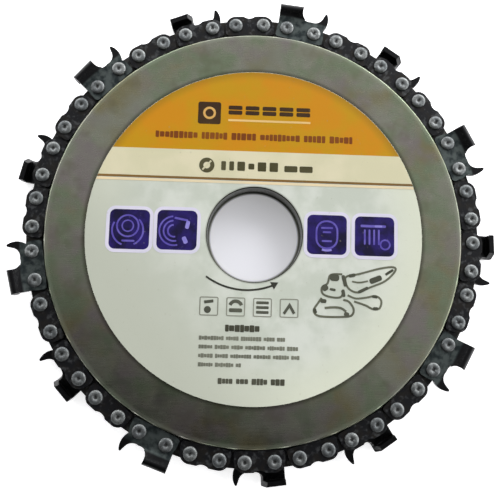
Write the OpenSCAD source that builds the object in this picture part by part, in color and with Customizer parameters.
// Carving disc for an angle grinder: a loop of saw chain held in the rim of a riveted steel disc.
// Millimetres. The disc lies flat: +Z is the spin axis, towards the label, and the origin is the
// middle of the arbor bore. The cutters face clockwise, seen from +Z.

/* [Chain] */
// Half the distance over three rivets in a row
pitch = 6.24; // [5.6:0.02:7.7]
// Drive links in the loop; every second pair of side plates carries a cutter
drive_links = 26; // [22:2:32]
// How much further apart a side plate's rivets are than a drive link's
span_difference = 1.0; // [0:0.1:1.2]
// Angle of the first cutter, clockwise from +Y
first_cutter_angle = 12.6; // [0:0.1:27]
// The cutter that repeats the hand of the one before it, because their number is odd
repeated_hand = 6; // [1:1:12]
// Thickness of a drive link
drive_t = 1.3; // [1.1:0.1:1.6]
// Thickness of a side plate
side_t = 1.1; // [0.9:0.1:1.3]
// Side play between a drive link and the plates beside it
side_play = 0.05; // [0.03:0.01:0.1]
// Rivet line to the outer edge of a side plate
outer_h = 2.35; // [2.2:0.05:2.6]
// Rivet line to the foot of a side plate
inner_h = 2.5; // [2.3:0.05:3.2]
// Gap between the feet of two side plates in a row
foot_gap = 0.3; // [0.2:0.05:0.6]
// Depth of a drive link's tang below the feet
tang_depth = 4.3; // [3.4:0.1:5.2]

/* [Chain rivets] */
// Diameter of a rivet head
head_d = 3.4; // [2.8:0.1:3.7]
// Height of a rivet head
head_h = 0.55; // [0.4:0.05:0.7]
// Diameter of the rivet shank in the side plates
shank_d = 2.5; // [2.1:0.1:2.9]
// Diameter of the rivet collar that a drive link turns on
collar_d = 3.4; // [3:0.1:3.7]
// Radial clearance of a shank in a side plate
shank_clearance = 0.02; // [0.01:0.01:0.05]
// Radial clearance of a collar in a drive link
collar_clearance = 0.05; // [0.02:0.01:0.1]

/* [Cutters] */
// Rivet line to the top of the cutting edge
cutter_h = 6.2; // [5:0.05:6.6]
// Width of the cut, over the cutters of both hands
kerf = 6; // [5.4:0.1:7.2]
// Length of a cutter's top plate
top_length = 6.1; // [5:0.1:6.4]
// How far the top plate reaches behind the rear rivet
heel_reach = 2.7; // [1.6:0.1:3]
// How far the top plate reaches past the middle of the chain
top_reach = 0.4; // [0:0.1:0.8]
// Slope of the top plate down to its heel, in degrees
top_relief = 5; // [3:0.5:6]
// Angle of the cutting edge across the top plate, in degrees
edge_angle = 22; // [15:1:35]
// Radius of the gullet in front of the cutting edge
gullet_r = 2.2; // [1.6:0.05:2.4]
// Height of the cutting edge above the middle of the gullet
hook_depth = 1.2; // [0.5:0.05:1.4]
// How far the gullet in the side plate starts ahead of the cutting edge
gullet_lead = 0.8; // [0.2:0.1:1]
// Height of the cutting edge above the depth gauge
gauge_drop = 0.55; // [0.2:0.05:0.8]
// Radius of the depth gauge's front
gauge_r = 3.9; // [3.6:0.1:4.4]
// Lean of the depth gauge's back, in degrees
gauge_lean = 20; // [0:5:30]

/* [Disc] */
// Diameter of the arbor bore
bore_d = 22.23; // [16:0.01:25.4]
// Thickness of each clamping plate
plate_t = 2; // [1.5:0.1:2.4]
// Gap between a plate's rim and the feet of the side plates
rail_gap = 0.25; // [0.2:0.05:0.5]
// Gap between the tips of the tangs and the bottom of the groove
tang_gap = 0.5; // [0.3:0.1:1]
// Chamfer on the outer edge of each plate's face
rim_chamfer = 0.35; // [0.2:0.05:0.6]
// Chamfer at the mouth of the bore
bore_chamfer = 0.1; // [0.1:0.05:0.5]
// Lead-in chamfer at the mouth of the chain groove
groove_chamfer = 0.2; // [0.1:0.05:0.3]

/* [Disc rivets] */
// Rivets through the three plates
disc_rivets = 6; // [3:1:8]
// Diameter of the circle that they sit on
disc_rivet_pcd = 60; // [44:1:74]
// Diameter of their shanks
disc_rivet_d = 4; // [3:0.5:5]
// Depth of their countersunk heads
disc_rivet_sink = 1.4; // [0.8:0.1:1.4]
// Clearance around them
disc_rivet_clearance = 0.03; // [0.02:0.01:0.1]

/* [Label] */
// Outer diameter of the label
label_d = 78.6; // [60:0.2:90]
// Thickness of the label
label_t = 0.15; // [0.1:0.05:0.3]
// Width of bare metal between the bore's chamfer and the label
label_margin = 0.1; // [0.1:0.1:1]

/* [Hidden] */
$fn = 64;

// How far a cut reaches past what it cuts.
over = 1;

// The loop: two chords, a side plate's and a drive link's, repeat round the rivet circle.
side_span = pitch + span_difference / 2;
drive_span = pitch - span_difference / 2;
link_step = 360 / drive_links;
half_step = link_step / 2;
rivet_circle_r = sqrt(side_span ^ 2 + drive_span ^ 2 + 2 * side_span * drive_span * cos(half_step))
    / (2 * sin(half_step));
side_mid_r = sqrt(rivet_circle_r ^ 2 - (side_span / 2) ^ 2);
drive_mid_r = sqrt(rivet_circle_r ^ 2 - (drive_span / 2) ^ 2);
side_half_angle = asin(side_span / 2 / rivet_circle_r);

// Levels along Z.
side_z = drive_t / 2 + side_play;
side_top_z = side_z + side_t;
disc_z = side_z + plate_t;

// The side plates' outline.
foot_reach = (drive_span - foot_gap) / 2 - inner_h * tan(half_step);
foot_corner = 0.8;
waist_r = 2.2;
waist_depth = 0.5;

// The drive links' outline: lobes a little lower than the side plates', shoulders beside the rivets,
// a neck below the feet, and a tang with a bevelled tip and a hooked front.
drive_outer_h = outer_h - 0.15;
drive_saddle = 0.4;
shoulder_reach = 1.7;
shoulder_drop = 1;
neck_reach = 1.4;
neck_drop = 0.2;
tang_low = inner_h + tang_depth;
tang_half = 1.7;
tang_tip_half = 0.9;
tang_bevel = 1;
tang_hook_r = 2.1;
tang_hook_reach = 1.1;
tang_hook_share = 0.6;

// The cutters. The sheet bends out from the rivet line to the side of the kerf, then over the top.
cutters = drive_links / 2;
heel_x = -side_span / 2 - heel_reach;
edge_x = heel_x + top_length;
head_room = 0.5;
flare_y = head_d / 2 + head_room;
bend_inner_r = 0.1;
bend_outer_r = side_t + bend_inner_r;
bend_y = cutter_h - bend_outer_r;
bend_z = kerf / 2 - bend_outer_r;
flare_angle = atan2(bend_z - side_top_z, bend_y - flare_y)
    + asin(bend_outer_r / norm([bend_y - flare_y, bend_z - side_top_z]));
bend_steps = 10;
top_slope = 3;
gullet_y = cutter_h - hook_depth;
gullet_half_chord = sqrt(gullet_r ^ 2 - hook_depth ^ 2);
gullet_x = edge_x + gullet_half_chord + gullet_lead;
gauge_back = 1.1;
gauge_y = 3.7;
web_h = 1.6;
web_overlap = 0.8;
edge_stock = 0.2;

// The disc.
bore_r = bore_d / 2;
plate_r = side_mid_r - inner_h - rail_gap;
core_r = drive_mid_r - tang_low - tang_gap;
label_bore_r = bore_r + bore_chamfer + label_margin;
disc_rivet_set = 0.02;

function right_hand(k) = (k + (k >= repeated_hand ? 1 : 0)) % 2 == 0;
function cutter_name(k) = str(right_hand(k) ? "right" : "left", "_cutter_", k + 1);
function strap_name(k) = str("tie_straps_", k + 1);
function drive_name(k) = str("drive_link_", k + 1);
function side_angle(k) = first_cutter_angle + k * link_step;

// Puts a link on the loop. In a link's own frame X runs clockwise, Y outwards from the rivet line.
module on_loop(angle, mid_r) {
    rotate([0, 0, -angle]) translate([0, mid_r, 0]) children();
}

module at_rivets(span) {
    for (side = [-1, 1]) translate([side * span / 2, 0, 0]) children();
}

// --- Chain ---

// Two lobes round the rivets on a straight foot, with a waist between the lobes.
module side_outline() {
    at_rivets(side_span) circle(r = outer_h);
    difference() {
        union() {
            translate([-side_span / 2, -inner_h]) square([side_span, inner_h + outer_h]);
            translate([-side_span / 2 - foot_reach, -inner_h + foot_corner])
                square([side_span + 2 * foot_reach, inner_h - foot_corner]);
            for (side = [-1, 1])
                translate([side * (side_span / 2 + foot_reach - foot_corner), -inner_h + foot_corner])
                    circle(r = foot_corner);
            translate([-side_span / 2 - foot_reach + foot_corner, -inner_h])
                square([side_span + 2 * (foot_reach - foot_corner), foot_corner]);
        }
        translate([0, outer_h + waist_r - waist_depth]) circle(r = waist_r);
    }
}

module shank_holes() {
    at_rivets(side_span)
        cylinder(r = shank_d / 2 + shank_clearance, h = 4 * side_top_z, center = true);
}

module tie_strap() {
    difference() {
        translate([0, 0, side_z]) linear_extrude(side_t) side_outline();
        shank_holes();
    }
}

// The strap opposite cutter k, and the pair of straps that follows it round the loop.
module tie_straps(k) {
    color("#2b2d31") {
        on_loop(side_angle(2 * k), side_mid_r)
            mirror([0, 0, right_hand(k) ? 1 : 0]) tie_strap();
        on_loop(side_angle(2 * k + 1), side_mid_r) {
            tie_strap();
            mirror([0, 0, 1]) tie_strap();
        }
    }
}

// A drive link: two lobes joined by a web, and a tang with a hooked front that rides in the groove.
module drive_outline() {
    at_rivets(drive_span) circle(r = drive_outer_h);
    translate([-drive_span / 2, -inner_h])
        square([drive_span, inner_h + drive_outer_h - drive_saddle]);
    difference() {
        polygon([
            [-drive_span / 2 - shoulder_reach, -shoulder_drop],
            [-drive_span / 2 - neck_reach, -inner_h - neck_drop],
            [-tang_half, tang_bevel - tang_low],
            [-tang_tip_half, -tang_low],
            [tang_tip_half, -tang_low],
            [tang_half, tang_bevel - tang_low],
            [drive_span / 2 + neck_reach, -inner_h - neck_drop],
            [drive_span / 2 + shoulder_reach, -shoulder_drop]
        ]);
        translate([drive_span / 2 + tang_hook_reach, -inner_h - tang_hook_share * tang_depth])
            circle(r = tang_hook_r);
    }
}

module drive_link(k) {
    color("#34363a") on_loop(side_angle(k + 0.5), drive_mid_r) difference() {
        linear_extrude(drive_t, center = true) drive_outline();
        at_rivets(drive_span)
            cylinder(r = collar_d / 2 + collar_clearance, h = 2 * drive_t, center = true);
    }
}

// One end of a rivet: half the collar, the shank through a side plate, and a dimpled head, whose
// dome and dimple are shares of its diameter and height.
rivet_end = [
    [collar_d / 2, 0],
    [collar_d / 2, side_z],
    [shank_d / 2, side_z],
    [shank_d / 2, side_top_z],
    [head_d / 2, side_top_z],
    [head_d / 2, side_top_z + 0.3 * head_h],
    for (a = [20:20:80]) [
        head_d / 4 * (1 + cos(a)),
        side_top_z + head_h * (0.3 + 0.7 * sin(a))
    ],
    [head_d / 4, side_top_z + head_h],
    [0.18 * head_d, side_top_z + 0.95 * head_h],
    [0.1 * head_d, side_top_z + 0.7 * head_h],
    [0, side_top_z + 0.65 * head_h]
];

module rivet() {
    other_end = [for (i = [len(rivet_end) - 1:-1:1]) [rivet_end[i][0], -rivet_end[i][1]]];
    rotate_extrude() polygon(concat(rivet_end, other_end));
}

module chain_rivets() {
    color("#b9bcc0") for (k = [0:drive_links - 1])
        on_loop(side_angle(k), side_mid_r) at_rivets(side_span) rivet();
}

// --- Cutters ---

// The bent sheet's section: first number along Y, second along Z.
function bend_arc(r, from, to) = [
    for (i = [0:bend_steps])
        let (a = from + (to - from) * i / bend_steps)
        [bend_y - r * sin(a), bend_z + r * cos(a)]
];
top_drop = (bend_z + top_reach) * tan(top_slope);
bent_section = concat(
    [[web_h - web_overlap, side_z], [web_h - web_overlap, side_top_z], [flare_y, side_top_z]],
    bend_arc(bend_outer_r, flare_angle, -90),
    [[cutter_h - top_drop, -top_reach], [cutter_h - top_drop - side_t, -top_reach]],
    bend_arc(bend_inner_r, -90, flare_angle),
    [[flare_y + side_t * tan(flare_angle / 2), side_z]]
);

// The side and top plates, from the heel to past the cutting edge, sloping down to the heel.
module bent_plate() {
    translate([edge_x, cutter_h, 0]) rotate([0, 0, top_relief]) translate([-edge_x, -cutter_h, 0])
        translate([heel_x, 0, 0]) rotate([90, 0, 90])
            linear_extrude(top_length + edge_stock) polygon(bent_section);
}

module cutter_outline() {
    difference() {
        union() {
            difference() {
                side_outline();
                translate([heel_x - over, web_h]) square([edge_x - heel_x + over, outer_h]);
            }
            translate([edge_x, 0]) square([side_span / 2 - edge_x, gullet_y]);
            intersection() {
                translate([side_span / 2 - gauge_back, gauge_y]) circle(r = gauge_r);
                translate([edge_x, 0]) square([side_span, cutter_h - gauge_drop]);
            }
        }
        translate([gullet_x, gullet_y]) {
            circle(r = gullet_r);
            rotate(-gauge_lean) square([gullet_r, cutter_h]);
        }
    }
}

// A right-hand cutter stands on the label's side of the chain, a left-hand one is its mirror image.
module right_cutter() {
    difference() {
        union() {
            translate([0, 0, side_z]) linear_extrude(side_t) cutter_outline();
            bent_plate();
        }
        translate([edge_x + gullet_half_chord / cos(edge_angle), gullet_y, kerf / 2])
            rotate([0, edge_angle, 0]) cylinder(r = gullet_r, h = 4 * kerf, center = true);
        shank_holes();
    }
}

module cutter(k) {
    color("#26282c") on_loop(side_angle(2 * k), side_mid_r)
        mirror([0, 0, right_hand(k) ? 0 : 1]) right_cutter();
}

// --- Disc ---

module at_disc_rivets() {
    for (i = [0:disc_rivets - 1]) rotate([0, 0, i * 360 / disc_rivets])
        translate([disc_rivet_pcd / 2, 0, 0]) children();
}

// A flush rivet: a shank with a cone at each end. grow makes the hole that it sits in.
module disc_rivet(grow = 0) {
    r = disc_rivet_d / 2 + grow;
    face = disc_z - (grow > 0 ? 0 : disc_rivet_set);
    cylinder(r = r, h = 2 * face, center = true);
    for (side = [0, 1]) mirror([0, 0, side]) translate([0, 0, face - disc_rivet_sink])
        cylinder(r1 = r, r2 = r + disc_rivet_sink, h = disc_rivet_sink);
}

module plate() {
    difference() {
        rotate_extrude() polygon([
            [bore_r, side_z],
            [plate_r - groove_chamfer, side_z],
            [plate_r, side_z + groove_chamfer],
            [plate_r, disc_z - rim_chamfer],
            [plate_r - rim_chamfer, disc_z],
            [bore_r + bore_chamfer, disc_z],
            [bore_r, disc_z - bore_chamfer]
        ]);
        at_disc_rivets() disc_rivet(grow = disc_rivet_clearance);
    }
}

module front_plate() {
    color("#8f918a") plate();
}

module back_plate() {
    color("#8f918a") mirror([0, 0, 1]) plate();
}

// Sets the width of the chain groove and, with its edge, the groove's bottom.
module core_plate() {
    color("#7c7e79") difference() {
        cylinder(r = core_r, h = 2 * side_z, center = true);
        cylinder(r = bore_r, h = 4 * side_z, center = true);
        at_disc_rivets() cylinder(r = disc_rivet_d / 2 + disc_rivet_clearance, h = 4 * side_z, center = true);
    }
}

module disc_rivets() {
    color("#85877f") at_disc_rivets() disc_rivet();
}

module label() {
    color("#e6e5d6") translate([0, 0, disc_z]) difference() {
        cylinder(d = label_d, h = label_t);
        translate([0, 0, -over]) cylinder(r = label_bore_r, h = label_t + 2 * over);
    }
}

front_plate();
back_plate();
core_plate();
label();
disc_rivets();
chain_rivets();
for (k = [0:cutters - 1]) {
    cutter(k);
    tie_straps(k);
}
for (k = [0:drive_links - 1])
    drive_link(k);
